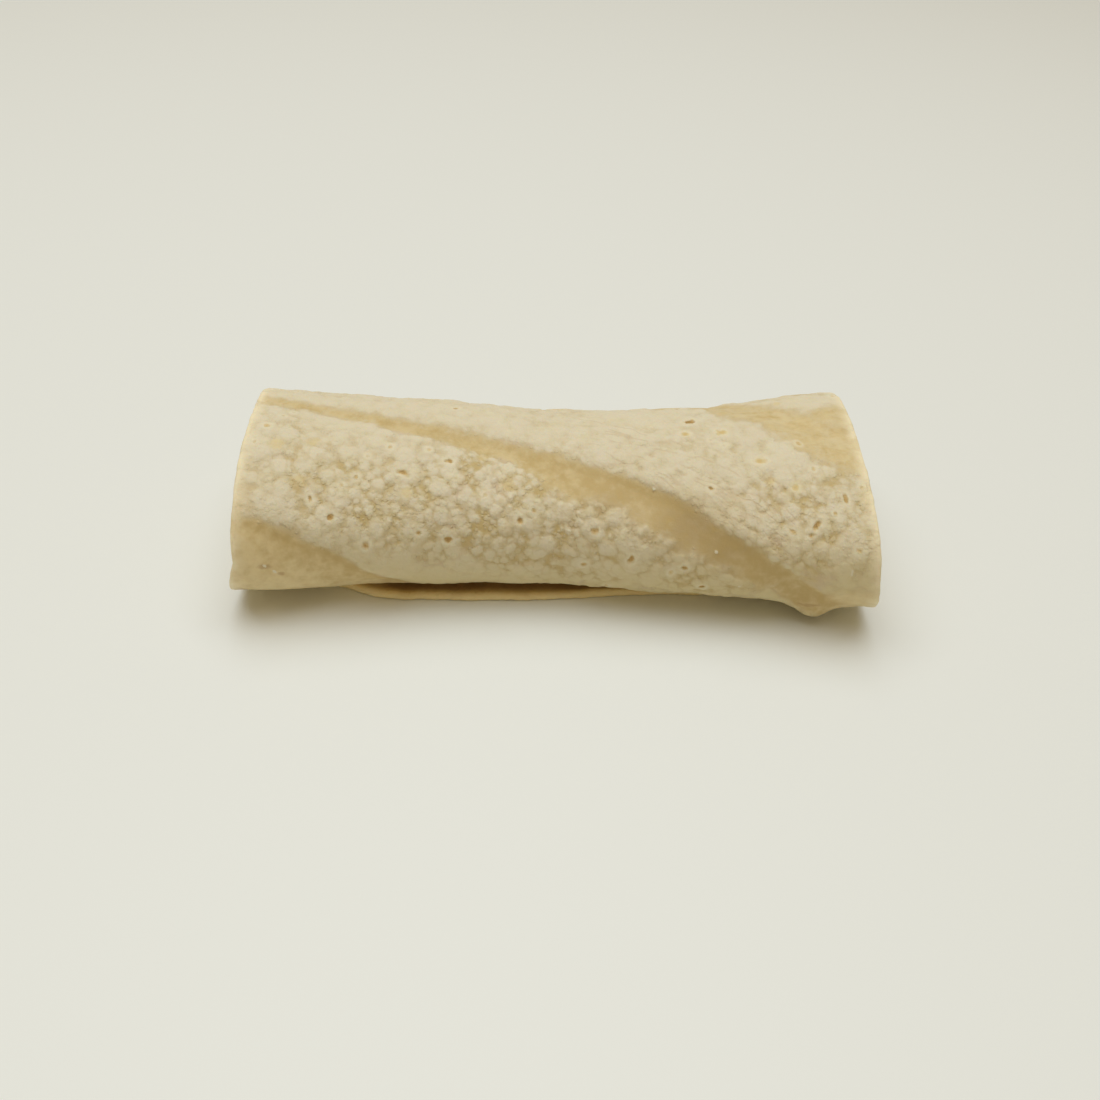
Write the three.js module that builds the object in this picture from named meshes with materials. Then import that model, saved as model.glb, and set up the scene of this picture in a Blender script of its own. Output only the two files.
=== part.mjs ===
// A filled wheat-tortilla wrap, rolled and tucked shut at both ends, lying on its seam.
//
// The roll is one closed skin: a row of closed sections from the left tucked end to the
// right one. Each section is a soft superellipse with a pressed foot. The sheet's free
// edge runs out from under the front as a thin ledge with a gap above it. Shallow troughs
// wind round the roll, and the tucked ends show the plies as a flat spiral.
//
// Millimetres, +X along the roll, +Y to the back, +Z up.

import * as THREE from 'three';

// ---- Driving dimensions ----------------------------------------------------------------

const LENGTH = 150; // over the two tucked ends
const HALF_WIDTH = { left: 32.9, waist: 25.8, right: 35.7 };
const HALF_HEIGHT = { left: 18.8, waist: 17.9, right: 19.5 };
const SIDEWAYS_DRIFT = { left: -2.4, waist: 0.5, right: 1.4 }; // of the section's middle, in Y
const FLARE_POWER = 1.4; // how the waist opens towards the ends

const SQUARENESS_MEAN = 2.27; // exponent of the section at mid height
const SQUARENESS_SWING = 0.18; // more at the foot, less at the crown
const FOOT_PRESS = 0.5; // the foot is flattened by this much where the roll rests
const END_LIFT = 0.9; // the last stretch at each end clears the table by this much
const END_LIFT_START = 50; // distance from the middle where that lift begins

const SHEET = 1.9; // thickness of the free edge of the tortilla
const SHEET_PINCHED = 0.45; // share of that thickness where the roll lies on the edge
const LEDGE_GAP = 0.2; // height over the ledge where the roll leaves it
const LEDGE_HIDDEN = 0.4; // reach of the ledge past the roll's foot where it is hidden
const LEDGE_FROM = -60; // the free edge comes out from under the roll here,
const LEDGE_TO = 46; // and goes back under it here
const LEDGE_FADE = 11; // length over which it does so
const FOLD_RADIUS = 1.2; // rounding of the fold round each end

// How far the free edge lies in front of the roll's axis, by distance along the roll.
const FREE_EDGE = [
  [-75, 12], [-61, 14.5], [-52, 19.4], [-44, 22.9], [-36, 23.5], [-4, 21.8], [3, 21.3],
  [11, 19.6], [26, 18], [36, 16.8], [48, 13.5], [75, 11],
];

// End faces lean: the shift of the rim along X, outwards, at the foot, at the front and at
// the lower front corner.
const RIM_LEAN = {
  left: { foot: 0.3, front: -1.3, corner: 3.1 },
  right: { foot: 2.7, front: 0.3, corner: 1.2 },
};
const RIM_LEAN_START = 45; // distance from the middle where the lean begins
const RIM_LEAN_POWER = 1.5;

// Troughs that wind round the roll. Along each, the girth of the upper edge, measured
// from the crown towards the front, is a cubic in the distance along the roll.
const TROUGHS = [
  { girth: [8.3, 0.372, 0.0028, 0.000022], from: -90, to: 62, width: 10.5, depth: 1.1 },
  { girth: [85, 1.3, 0.0074, 0], from: -90, to: -40, width: 14, depth: 0.9 },
  { girth: [-57, 0.77, 0, 0], from: -24, to: 90, width: 12, depth: 0.9 },
  { girth: [-28, 0.5, 0, 0], from: -90, to: -27, width: 9, depth: 0.8 },
];
const TROUGH_STEP = 2.4; // width of the step down at a trough's upper edge
const TROUGH_FLOOR = 0.35; // share of its width at which a trough begins to rise again,
const TROUGH_RIM = 1.25; // and at which it is level with the wall
const TROUGH_FADE = 8; // length over which a trough starts and ends

// A small fold that bulges out under the front at the right end.
const FOLD_BULGE = { x: 62.6, turn: 2.28, reach: 4.4, spread: 0.24, height: 3.7 };

// Broad, low swells of the filling under the sheet: height, waves per mm along and round.
const SWELLS = [
  { height: 0.45, along: 1 / 95, round: 1 / 140, phase: 0.76 },
  { height: 0.16, along: 1 / 29, round: -1 / 43, phase: 0.57 },
  { height: 0.1, along: 1 / 18, round: 1 / 24, phase: 0.81 },
];

// Spiral of folded plies on the end faces.
const PLY_PITCH = 5.2; // from one ply's fold to the next
const PLY_GROOVE = 1.5; // depth of the groove between plies
const END_DISH = 3.4; // the middle of each end lies this far in
const END_CORE = 1.6; // half height of the slot that closes the middle

// ---- Fineness of the skin --------------------------------------------------------------

const STATIONS = 60; // steps along the roll
const WALL_STEPS = 44; // steps round the roll, from the foot at the back to the ledge
const UNDERSIDE_STEPS = 6; // steps along the sheet under the roll
const TIP_STEPS = 4; // steps round the free edge
const LEDGE_STEPS = 3; // steps back along the top of the ledge
const FOLD_STEPS = 3; // steps round the fold at an end
const END_STEPS = 12; // steps from the fold to the middle of an end face

// ---- Small helpers ---------------------------------------------------------------------

const clamp = (value, low, high) => Math.min(high, Math.max(low, value));
const mix = (from, to, share) => from + (to - from) * share;

/** Values from first to last in so many equal steps. */
function evenly(first, last, steps) {
  return Array.from({ length: steps + 1 }, (_, i) => mix(first, last, i / steps));
}

/** 0 below low, 1 above high, an S between them. */
function smoothstep(low, high, value) {
  const t = clamp((value - low) / (high - low), 0, 1);
  return t * t * (3 - 2 * t);
}

/** The larger of two values, with the corner between them rounded over `soft`. */
function softMax(a, b, soft) {
  return (a + b + Math.hypot(a - b, soft)) / 2;
}

/** A value that goes from the waist's to an end's as the flare opens. */
function alongRoll(values, x) {
  const end = x < 0 ? values.left : values.right;
  return mix(values.waist, end, Math.abs(x / (LENGTH / 2)) ** FLARE_POWER);
}

/** Height of the curve through `points` at x, on cubic pieces with smooth joints. */
function throughPoints(points, x) {
  const last = points.length - 1;
  let i = 0;
  while (i < last - 1 && x > points[i + 1][0]) i += 1;
  const slopeAt = (k) => {
    const before = points[Math.max(k - 1, 0)];
    const after = points[Math.min(k + 1, last)];
    return (after[1] - before[1]) / (after[0] - before[0]);
  };
  const [x0, y0] = points[i];
  const [x1, y1] = points[i + 1];
  const span = x1 - x0;
  const t = clamp((x - x0) / span, 0, 1);
  const rise = slopeAt(i) * span * t * (1 - t) ** 2 - slopeAt(i + 1) * span * t * t * (1 - t);
  return mix(y0, y1, t * t * (3 - 2 * t)) + rise;
}

// ---- One section of the roll -----------------------------------------------------------

// Round the section, `turn` is measured in radians from the crown: positive to the front,
// a quarter turn at the front and half a turn at the foot.
const FOOT_TURN = -Math.PI + 0.3; // the wall ends here, on the table, behind the middle
const RELIEF_FADE = 0.28; // turn over which troughs and swells fade at the foot and ledge
const EDGE_SOFTNESS = 0.6; // rounding where the free edge goes back under the roll

/** Radius factor of a superellipse in the direction of `turn`, 1 on its axes. */
function squareness(turn) {
  const power = SQUARENESS_MEAN - SQUARENESS_SWING * Math.cos(turn);
  return (Math.abs(Math.sin(turn)) ** power + Math.abs(Math.cos(turn)) ** power) ** (-1 / power);
}

/** Half width, half height, sideways drift and clearance under the roll at x. */
function sizesAt(x) {
  return {
    halfWidth: alongRoll(HALF_WIDTH, x),
    halfHeight: alongRoll(HALF_HEIGHT, x),
    drift: alongRoll(SIDEWAYS_DRIFT, x),
    lift: END_LIFT * smoothstep(END_LIFT_START, LENGTH / 2, Math.abs(x)),
  };
}

/** The plain superellipse at x, drawn in by `inset` all round, without foot or ledge. */
function plainPoint(x, turn, inset) {
  const { halfWidth, halfHeight, drift, lift } = sizesAt(x);
  const radius = squareness(turn);
  return new THREE.Vector3(
    x,
    drift - (halfWidth - inset) * radius * Math.sin(turn),
    lift + halfHeight - FOOT_PRESS + (halfHeight - inset) * radius * Math.cos(turn),
  );
}

/** Thickness of the free edge at x: full where it shows, pinched where the roll hides it. */
function ledgeThickness(x) {
  const out = smoothstep(LEDGE_FROM, LEDGE_FROM + LEDGE_FADE, x);
  const back = smoothstep(LEDGE_TO - LEDGE_FADE, LEDGE_TO, x);
  return SHEET * mix(SHEET_PINCHED, 1, out * (1 - back));
}

/** The turn at which the wall comes down to the top of the ledge, at the front. */
function ledgeTurn(x) {
  const { halfHeight } = sizesAt(x);
  const drop = 1 - (ledgeThickness(x) + LEDGE_GAP + FOOT_PRESS) / halfHeight;
  const power = SQUARENESS_MEAN + SQUARENESS_SWING;
  const side = (1 - drop ** power) ** (1 / power);
  return Math.PI - Math.atan2(side, drop);
}

/** Depth of all troughs at a place on the wall, and height of the swells of the filling. */
function wallRelief(x, girth) {
  let relief = 0;
  for (const { girth: line, from, to, width, depth } of TROUGHS) {
    const edge = line[0] + x * (line[1] + x * (line[2] + x * line[3]));
    const below = girth - edge;
    const step = smoothstep(-TROUGH_STEP / 2, TROUGH_STEP / 2, below);
    const rise = 1 - smoothstep(TROUGH_FLOOR * width, TROUGH_RIM * width, below);
    const start = smoothstep(from - TROUGH_FADE, from, x);
    const stop = 1 - smoothstep(to, to + TROUGH_FADE, x);
    relief -= depth * step * rise * start * stop;
  }
  for (const { height, along, round, phase } of SWELLS) {
    relief += height * Math.sin(2 * Math.PI * (x * along + girth * round + phase));
  }
  return relief;
}

/** Height of the small fold under the front at the right end. */
function foldBulge(x, turn) {
  const { x: middle, turn: at, reach, spread, height } = FOLD_BULGE;
  return height * Math.exp(-(((x - middle) / reach) ** 2) - ((turn - at) / spread) ** 2);
}

/** How far the rim leans out at a place round the section, growing towards the ends. */
function rimLean(x, turn) {
  const lean = x < 0 ? RIM_LEAN.left : RIM_LEAN.right;
  const growth = clamp((Math.abs(x) - RIM_LEAN_START) / (LENGTH / 2 - RIM_LEAN_START), 0, 1);
  const down = -Math.cos(turn);
  const front = Math.sin(turn);
  const corner = 2 * Math.max(down, 0) * Math.max(front, 0);
  const shift = lean.foot * down + lean.front * front + lean.corner * corner;
  return Math.sign(x) * shift * growth ** RIM_LEAN_POWER;
}

/**
 * The closed section at x, from the foot at the back over the crown to the ledge, round
 * the gap and the free edge, and back along the table. Each point keeps its turn, so that
 * the end faces can follow it inwards.
 */
function section(x) {
  const { lift } = sizesAt(x);
  const endTurn = ledgeTurn(x);
  const turns = evenly(FOOT_TURN, endTurn, WALL_STEPS);
  const bare = turns.map((turn) => plainPoint(x, turn, 0));

  // Girth of each wall point, counted from the crown.
  const girths = [0];
  for (let i = 1; i < bare.length; i += 1) {
    girths.push(girths[i - 1] + bare[i].distanceTo(bare[i - 1]));
  }
  const crown = turns.findIndex((turn) => turn > 0);
  const share = -turns[crown - 1] / (turns[crown] - turns[crown - 1]);
  const crownGirth = mix(girths[crown - 1], girths[crown], share);

  const ring = turns.map((turn, i) => {
    const next = bare[Math.min(i + 1, WALL_STEPS)];
    const before = bare[Math.max(i - 1, 0)];
    const outward = new THREE.Vector3(0, next.z - before.z, before.y - next.y).normalize();
    const free = smoothstep(0, RELIEF_FADE, turn - FOOT_TURN) * smoothstep(0, RELIEF_FADE, endTurn - turn);
    const rise = free * wallRelief(x, girths[i] - crownGirth) + foldBulge(x, turn);
    const point = bare[i].clone().addScaledVector(outward, rise);
    point.x += rimLean(x, turn);
    point.z = Math.max(point.z, lift);
    return { point, turn };
  });

  // The sheet's free edge: back under the front of the roll, round the tip, and along the
  // table to the foot.
  const inner = ring[WALL_STEPS].point;
  const foot = ring[0].point;
  const reach = softMax(throughPoints(FREE_EDGE, x), LEDGE_HIDDEN - inner.y, EDGE_SOFTNESS);
  const thick = ledgeThickness(x) / 2;
  const loose = [];
  for (let i = 1; i <= LEDGE_STEPS; i += 1) {
    const share = i / (LEDGE_STEPS + 1);
    loose.push([mix(inner.y, thick - reach, share), mix(inner.z, lift + 2 * thick, share ** 0.5)]);
  }
  for (let i = 0; i <= TIP_STEPS; i += 1) {
    const angle = Math.PI * (0.5 - i / TIP_STEPS);
    loose.push([thick - reach - thick * Math.cos(angle), lift + thick + thick * Math.sin(angle)]);
  }
  for (let i = 1; i < UNDERSIDE_STEPS; i += 1) {
    loose.push([mix(thick - reach, foot.y, i / UNDERSIDE_STEPS), lift]);
  }
  loose.forEach(([y, z], i) => {
    const turn = mix(endTurn, FOOT_TURN + 2 * Math.PI, (i + 1) / (loose.length + 1));
    ring.push({ point: new THREE.Vector3(x + rimLean(x, turn), y, z), turn });
  });
  return ring;
}

// ---- Tucked ends -----------------------------------------------------------------------

/** How far the end face lies in at `inset` from the rim: plies in a spiral, then the dish. */
function endRelief(turn, inset, depth) {
  const across = inset / depth;
  const phase = (inset - FOLD_RADIUS) / PLY_PITCH - turn / (2 * Math.PI);
  const groove = Math.cos(Math.PI * phase) ** 2;
  const fade = smoothstep(0, PLY_PITCH / 2, inset - FOLD_RADIUS) * (1 - smoothstep(0.8, 1, across));
  return END_DISH * smoothstep(0, 1, across) + PLY_GROOVE * groove * fade;
}

/** Rings of one end face, from just inside the rim to the closing slot. */
function endRings(side, rim) {
  const x = side * (LENGTH / 2 - FOLD_RADIUS);
  const { halfHeight } = sizesAt(x);
  const depth = halfHeight - END_CORE;
  const insets = [];
  for (let i = 1; i <= FOLD_STEPS; i += 1) {
    const angle = (Math.PI / 2) * (i / FOLD_STEPS);
    insets.push({ inset: FOLD_RADIUS * (1 - Math.cos(angle)), out: FOLD_RADIUS * Math.sin(angle) });
  }
  for (let i = 1; i <= END_STEPS; i += 1) {
    insets.push({ inset: mix(FOLD_RADIUS, depth, i / END_STEPS), out: FOLD_RADIUS });
  }
  return insets.map(({ inset, out }) => {
    const settle = smoothstep(0, FOLD_RADIUS, inset);
    return rim.map(({ point, turn }) => {
      const plain = plainPoint(x, turn, inset);
      const lean = rimLean(side * (LENGTH / 2), turn) * (1 - inset / depth);
      plain.x += lean;
      const face = new THREE.Vector3(point.x, mix(point.y, plain.y, settle), mix(point.z, plain.z, settle));
      face.x = mix(point.x, plain.x, settle) + side * (out - endRelief(turn, inset, depth) * settle);
      return { point: face, turn };
    });
  });
}

// ---- The skin --------------------------------------------------------------------------

/** Joins the rings into one closed skin, with a fan of faces on the slot at each end. */
function skin(rings) {
  const count = rings[0].length;
  const positions = rings.flat().flatMap(({ point }) => point.toArray());
  const indices = [];
  for (let i = 0; i + 1 < rings.length; i += 1) {
    for (let j = 0; j < count; j += 1) {
      const a = i * count + j;
      const b = i * count + ((j + 1) % count);
      indices.push(a, b, a + count, b, b + count, a + count);
    }
  }
  for (const [ring, turned] of [[0, false], [rings.length - 1, true]]) {
    const middle = new THREE.Vector3();
    rings[ring].forEach(({ point }) => middle.addScaledVector(point, 1 / count));
    const hub = positions.length / 3;
    positions.push(...middle.toArray());
    for (let j = 0; j < count; j += 1) {
      const a = ring * count + j;
      const b = ring * count + ((j + 1) % count);
      indices.push(...(turned ? [hub, a, b] : [hub, b, a]));
    }
  }
  const geometry = new THREE.BufferGeometry();
  geometry.setAttribute('position', new THREE.Float32BufferAttribute(positions, 3));
  geometry.setIndex(indices);
  geometry.computeVertexNormals();
  return geometry;
}

/** The whole roll, standing on z = 0 with its box centred over the origin. */
function tortillaRoll() {
  const span = LENGTH / 2 - FOLD_RADIUS;
  const body = evenly(-span, span, STATIONS).map(section);
  const left = endRings(-1, body[0]).reverse();
  const right = endRings(1, body[STATIONS]);
  const geometry = skin([...left, ...body, ...right]);
  const tortilla = new THREE.MeshStandardMaterial({ color: 0xdecca2, roughness: 0.78, metalness: 0 });
  const mesh = new THREE.Mesh(geometry, tortilla);
  mesh.name = 'tortilla_roll';
  geometry.computeBoundingBox();
  const box = geometry.boundingBox;
  mesh.position.set(-(box.min.x + box.max.x) / 2, -(box.min.y + box.max.y) / 2, -box.min.z);
  return mesh;
}

const burrito = new THREE.Group();
burrito.add(tortillaRoll());

export default burrito;
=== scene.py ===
"""A filled wheat-tortilla roll, tucked shut at both ends, lying on its seam.

The skin is one closed surface: a row of closed sections from the left tucked end to the
right one, worked out as whole arrays. Its big forms follow the same named sizes as the
solid that it stands for. The dough's blisters, toasted pits and loose flour are relief in
the mesh. The finest beads, the wrinkles and the grain are bumps in the material. What each
place is made of (floury, sheer, toasted), and where shade and highlights are painted into
its colour, is kept on the mesh as attributes, which the material reads. Shapes are worked
out in millimetres and put into the mesh in metres.
"""

import math

import bpy
import numpy as np
from mathutils import Matrix, Vector


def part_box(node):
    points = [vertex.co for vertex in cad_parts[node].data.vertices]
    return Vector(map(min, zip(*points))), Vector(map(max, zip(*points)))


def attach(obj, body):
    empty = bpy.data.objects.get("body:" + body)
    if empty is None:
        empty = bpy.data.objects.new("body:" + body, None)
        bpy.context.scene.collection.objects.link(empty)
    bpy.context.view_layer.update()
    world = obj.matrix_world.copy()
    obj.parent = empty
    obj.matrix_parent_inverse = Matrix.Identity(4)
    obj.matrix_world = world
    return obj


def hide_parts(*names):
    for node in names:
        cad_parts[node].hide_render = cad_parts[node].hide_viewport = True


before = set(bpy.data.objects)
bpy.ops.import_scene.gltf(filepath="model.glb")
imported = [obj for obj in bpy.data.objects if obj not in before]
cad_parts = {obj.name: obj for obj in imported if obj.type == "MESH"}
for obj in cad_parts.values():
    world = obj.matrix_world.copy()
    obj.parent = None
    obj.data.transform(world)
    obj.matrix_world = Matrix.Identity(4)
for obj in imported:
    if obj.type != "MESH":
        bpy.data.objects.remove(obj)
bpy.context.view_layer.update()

MM = 0.001

# ---- Driving dimensions of the roll, in millimetres ----

LENGTH = 150  # over the two tucked ends
HALF_WIDTH = {"left": 32.9, "waist": 25.8, "right": 35.7}
HALF_HEIGHT = {"left": 18.8, "waist": 17.9, "right": 19.5}
SIDEWAYS_DRIFT = {"left": -2.4, "waist": 0.5, "right": 1.4}
FLARE_POWER = 1.4  # how late the waist opens out into the ends
SQUARENESS_MEAN = 2.27  # power of each section's superellipse, where 2 is an ellipse
SQUARENESS_SWING = 0.18  # so much more at the foot, and so much less at the crown
FOOT_PRESS = 0.5  # how far the foot is pressed flat
END_LIFT = 0.9  # clearance under the ends
END_LIFT_START = 50

SHEET = 1.9  # thickness of the sheet's free edge
SHEET_PINCHED = 0.45  # the share of it that is left where the roll hides it
LEDGE_GAP = 0.2  # gap between the wall and the free edge
LEDGE_OPEN = 0.6  # how much wider it is where the wall has lifted off
LIFTED = ((-50, -36), (6, 30))  # the places along between which the wall lifts and comes down
POCKET = 2.6  # how far the gap reaches in under the wall
POCKET_SHARE = 0.4  # the share of the way out that lies in it
POCKET_SHADE = (0.4, 1.35)  # the shares of the way out between which the painted shade in it, dark brown, fades
LEDGE_HIDDEN = 0.4  # how far the edge stands out where the roll hides it
LEDGE_SHOWS = ((-60, -49), (35, 46))  # where it comes out from under the roll, and goes back
FOLD_RADIUS = 1.2  # of the fold round each end's rim
# The free edge: distance along, and how far in front of the middle line.
FREE_EDGE = [
    (-75, 12), (-61, 14.5), (-52, 19.4), (-44, 22.9), (-36, 23.5), (-4, 21.8), (3, 21.3),
    (11, 19.6), (26, 18), (36, 16.8), (48, 13.5), (75, 11),
]

# How far each end's rim leans out: at the foot, at the front and at the corner of the two.
RIM_LEAN = {"left": (0.3, -1.3, 3.1), "right": (2.7, 0.3, 1.2)}
RIM_LEAN_START = 45
RIM_LEAN_POWER = 1.5

# Troughs that wind round the roll. Each one's upper edge has the girth a + bx + cx^2 + dx^3:
# (a, b, c, d), the places along between which it is open, its width and its depth.
TROUGHS = [
    ((8.3, 0.372, 0.0028, 0.000022), -90, 62, 10.5, 1.1),
    ((85, 1.3, 0.0074, 0), -90, -40, 14, 0.9),
    ((-57, 0.77, 0, 0), -24, 90, 12, 0.9),
    ((-28, 0.5, 0, 0), -90, -27, 9, 0.8),
]
# Where the troughs' edges stray: distance along, girth, reach each way, how far up the girth.
EDGE_STRAYS = [
    (-60, -5, 14, 9, 1.0), (-15, 11, 12, 9, 0.6), (30, 32, 8, 9, -1.0), (48, 44, 8, 9, 0.7),
]
TROUGH_STEP = 2.4  # how gentle the step down is at the upper edge
TROUGH_FLOOR = 0.35  # the share of the width at which the floor starts to rise again
TROUGH_RIM = 1.25  # and at which it has risen
TROUGH_FADE = 8  # how long each trough takes to open and to close

# The small fold at the lower right: distance along, turn from the crown, reach each way, height.
FOLD_BULGE = (62.6, 2.28, 4.4, 0.24, 3.7)

# Swells of the filling: height, waves in a millimetre along and round, phase in waves.
SWELLS = [
    (0.45, 1 / 95, 1 / 140, 0.76), (0.16, 1 / 29, -1 / 43, 0.57), (0.10, 1 / 18, 1 / 24, 0.81),
]

PLY_PITCH = 5.2  # from one ply to the next in the end faces
PLY_GROOVE = 1.9  # depth of the groove between them
END_DISH = 3.4  # how far the middle of an end face is sunk
END_CORE = 0.15  # half the height of the slot in its middle

FOOT_TURN = -math.pi + 0.3  # where the wall starts, at the back of the foot
RELIEF_FADE = 0.28  # the turn over which the relief fades out towards both ends of the wall
EDGE_SOFTNESS = 0.6  # how softly the free edge comes out

# ---- The dough's own relief, in millimetres ----

# Two sizes of floury dome: the grid they grow on, its seed, their least and greatest radius,
# how high they stand, how far in their shoulder reaches, and how much they grow (or shrink)
# on smooth, cobbled and sheer dough. The material adds a third and smallest size.
DOMES = [
    (4.0, 11, (1.3, 2.8), 0.50, 1.2, (0.6, 0.05, -2.8)),
    (2.2, 23, (0.75, 1.5), 0.29, 0.65, (0.35, 0.08, -1.3)),
]
DOME_BLEND = (0.42, 0.12)  # how softly domes run together on smooth and on cobbled dough
OUTLINE_WARP = 0.52  # how far the domes' outlines wander
NO_DOME = -3.0  # distance inside a dome, where there is none
DOME_OVERLAP = 0.35  # the share that the lower of two domes adds to the higher

# The noises that shape the roll: size of the features in millimetres, height (in millimetres
# or as a share), how many layers from coarse to fine, and seed.
NOISES = {
    "edges": (13.0, 0.7, 1, 51), "small bends": (4.5, 0.35, 1, 53), "stripes": (6.5, 4.2, 3, 55),
    "cobbles": (17.0, 0.34, 3, 61), "growth": (5.5, 0.22, 1, 71), "pits": (0.9, 1.0, 1, 45),
    "warp": (1.6, 1.0, 1, 90), "broad warp": (6.0, 1.5, 1, 95), "lumps": (11.0, 0.22, 1, 31),
    "small lumps": (4.0, 0.06, 1, 33), "grain": (1.3, 0.05, 1, 35),
    "sheer grain": (3.2, 0.05, 3, 37), "lip": (2.4, 1.6, 3, 47), "rims": (5.5, 0.12, 3, 39),
    "free edge": (4.0, 0.5, 3, 43), "plies": (13.0, 0.16, 1, 71),
}

# The sheer stripe below each trough's edge: from one x to another, its width at each, how
# sheer it is, how soft its edges are, how dark the painted shade just below the edge is, how
# far down that painted shade reaches, and how much the whole is yellowed.
SHEER = [
    (-62, 30, (2.6, 9.6), (0.85, 1.0), (2.6, 2.4), (0.35, 1.0), (3.0, 12), 0),
    (-75, -40, (60, 60), (1.0, 1.0), (1.8, 2.8), (0.8, 1.5), (2.6, 3.6), 1),
    (45, 76, (16, 17), (1.0, 1.0), (4.6, 5.2), (0.2, 0.2), (5.0, 5.0), 0.3),
    (-75, -27, (8, 8), (0.8, 0.8), (2.5, 2.5), (0.6, 0.6), (3.5, 3.5), 0),
]

# Sheer patches: distance along, girth, reach each way, strength, and how much it is yellowed.
SHEER_PATCHES = [
    (70, 52, 12, 5.5, 0.8, 0.9), (57, 43, 8, 3.5, 0.4, 0.0), (74, -5, 12, 7, 1.1, 0.2),
    (58, -24, 14, 5, 0.3, 0.3), (-74, 27, 4, 9, 0.4, 0.2),
]

COBBLED_MEAN = 0.42  # how much the cobbles stand out where nothing is listed
# Where they are stronger (+) and where the dough is smoother (-): distance along, girth from
# the crown, reach each way, strength.
COBBLED = [
    (-28, 21, 34, 14, 0.75), (2, 36, 26, 12, 0.65), (60, 27, 14, 11, 0.7), (36, 4, 22, 13, 0.12),
    (38, 42, 14, 8, 0.6), (66, 37, 9, 7, 0.5), (50, 22, 12, 8, 0.25), (-58, 18, 12, 12, 0.25),
    (-30, 46, 14, 6, -0.7), (-50, -12, 24, 9, -0.2), (16, -12, 30, 10, -0.15),
    (66, -14, 18, 14, -0.6),
]

# Toasted pits that show most: distance along, girth from the crown, radius, how far it is
# drawn out, the slant it is drawn out on in degrees, and how brown it is.
PITS = [
    (-36, 16, 0.8, 1.7, 8, 0.75), (-26, 11.7, 0.62, 1.1, 0, 0.65), (-31, 8.6, 0.4, 1.0, 0, 0.2),
    (-40, 8.5, 0.42, 1.0, 0, 0.45), (-47, 17.7, 0.42, 1.0, 0, 0.5), (-50, 20, 0.4, 1.0, 0, 0.3),
    (-44, 34, 0.6, 1.6, 80, 0.6), (-32, 30.4, 0.45, 1.2, 30, 0.9), (-25, 31.7, 0.7, 1.2, 60, 0.5),
    (-52, 28, 0.65, 1.1, 0, 0.55), (-8.5, 26, 0.6, 1.1, 0, 0.75), (-5.4, 23.5, 0.42, 1.5, 80, 0.35),
    (-26, -11, 0.5, 1.1, 0, 0.4), (-72, 9.4, 0.42, 1.0, 0, 0.5), (-70, 3.2, 0.5, 1.3, 20, 0.3),
    (-67, -1.7, 0.34, 1.2, 20, 0.8), (-65, -4.8, 0.3, 1.0, 0, 0.7), (-17, 20.5, 0.4, 1.0, 0, 0.25),
    (-24, 16.5, 0.4, 1.0, 0, 0.15), (-45, 11.5, 0.36, 1.0, 0, 0.2), (-57, 24, 0.34, 1.7, 70, 0.6),
    (32.6, -5.6, 1.0, 1.2, 150, 0.7), (31, 0.3, 0.7, 1.1, 160, 0.25), (39.6, 0.3, 0.95, 1.1, 60, 0.2),
    (39.8, 5.4, 0.34, 1.0, 0, 1.0), (36.8, 3.1, 0.3, 1.0, 0, 0.9), (58.6, 5, 0.4, 1.4, 50, 0.4),
    (48, 11, 0.75, 1.6, 10, 0.2), (35.8, 18.7, 0.46, 1.1, 0, 0.65), (61, 14, 0.46, 1.0, 0, 0.3),
    (56, 19, 0.6, 1.0, 0, 0.12), (72.6, 20, 0.45, 1.1, 0, 0.5), (68, 23, 0.5, 2.2, 84, 0.45),
    (60.5, 28.8, 0.54, 2.4, 133, 0.7), (59, 31.2, 0.45, 1.2, 150, 0.55),
    (55, 30, 0.45, 1.6, 30, 0.35), (65, 26.5, 0.4, 1.0, 0, 0.35), (70, 35.7, 0.5, 1.2, 20, 0.3),
    (9, 28, 0.62, 1.1, 90, 0.65), (18, 35, 0.66, 1.3, 110, 0.55), (7, 37, 0.5, 1.1, 0, 0.4),
    (30.5, 37.6, 0.52, 1.1, 0, 0.85), (27.5, 39, 0.42, 1.0, 0, 0.3), (13, 45.6, 0.4, 1.0, 0, 0.5),
    (35.6, 44.6, 0.5, 1.2, 30, 0.65),
]

# Yellow patches where the dough is thin: distance along, girth from the crown, radius.
STAINS = [
    (-66.5, 10, 2.2), (-58, 8, 1.8), (48, 11, 1.7), (56, 19, 2.0), (73.5, 20.5, 2.0),
    (74, 24, 2.2), (40, 0.5, 1.8), (-12, 17, 2.2), (-60, 20, 1.9), (31, 0.5, 1.4),
    (-18, 9, 1.6), (50, 17, 1.5), (-35, 21, 1.6),
]

# Where the dough is thinnest and the filling darkens it: distance along, girth from the
# crown, reach each way, strength.
THIN = [
    (11, 22, 6, 4, 0.9), (18, 25, 6, 4, 0.5), (31, 27, 10, 8, 0.9), (38, 33, 8, 7, 0.6),
]

# Brownish scuffs: distance along, girth from the crown, reach each way, strength.
SCUFFS = [
    (-67.4, 41.8, 2.0, 0.9, 1), (-63.5, 43.6, 1.0, 0.6, 1), (60.5, 53.2, 3.2, 0.5, 1),
    (-7.5, 50, 2.2, 0.9, 1), (-72.5, 53, 1.6, 2.2, 1),
]

# Wrinkles above the main trough: how far below its edge (- is above) and how far along they
# fade in and fade out.
WRINKLED_BELOW = ((-26, -16), (-2.5, 0.5))
WRINKLED_FROM = (-4, 12)
WRINKLED_TO = (58, 70)

# Loose pale flecks of flour: distance along, girth from the crown, length, slant in degrees.
FLECKS = [
    (3, 28, 0.9, 30), (-11, 23, 0.9, 140), (37.5, 34, 1.0, 20), (68.5, 41, 2.2, 100),
    (22.6, 18, 0.9, 0), (-65, 43, 1.5, 40), (44, 44, 0.8, 0), (-67.5, 41.5, 1.2, 30),
]

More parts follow.
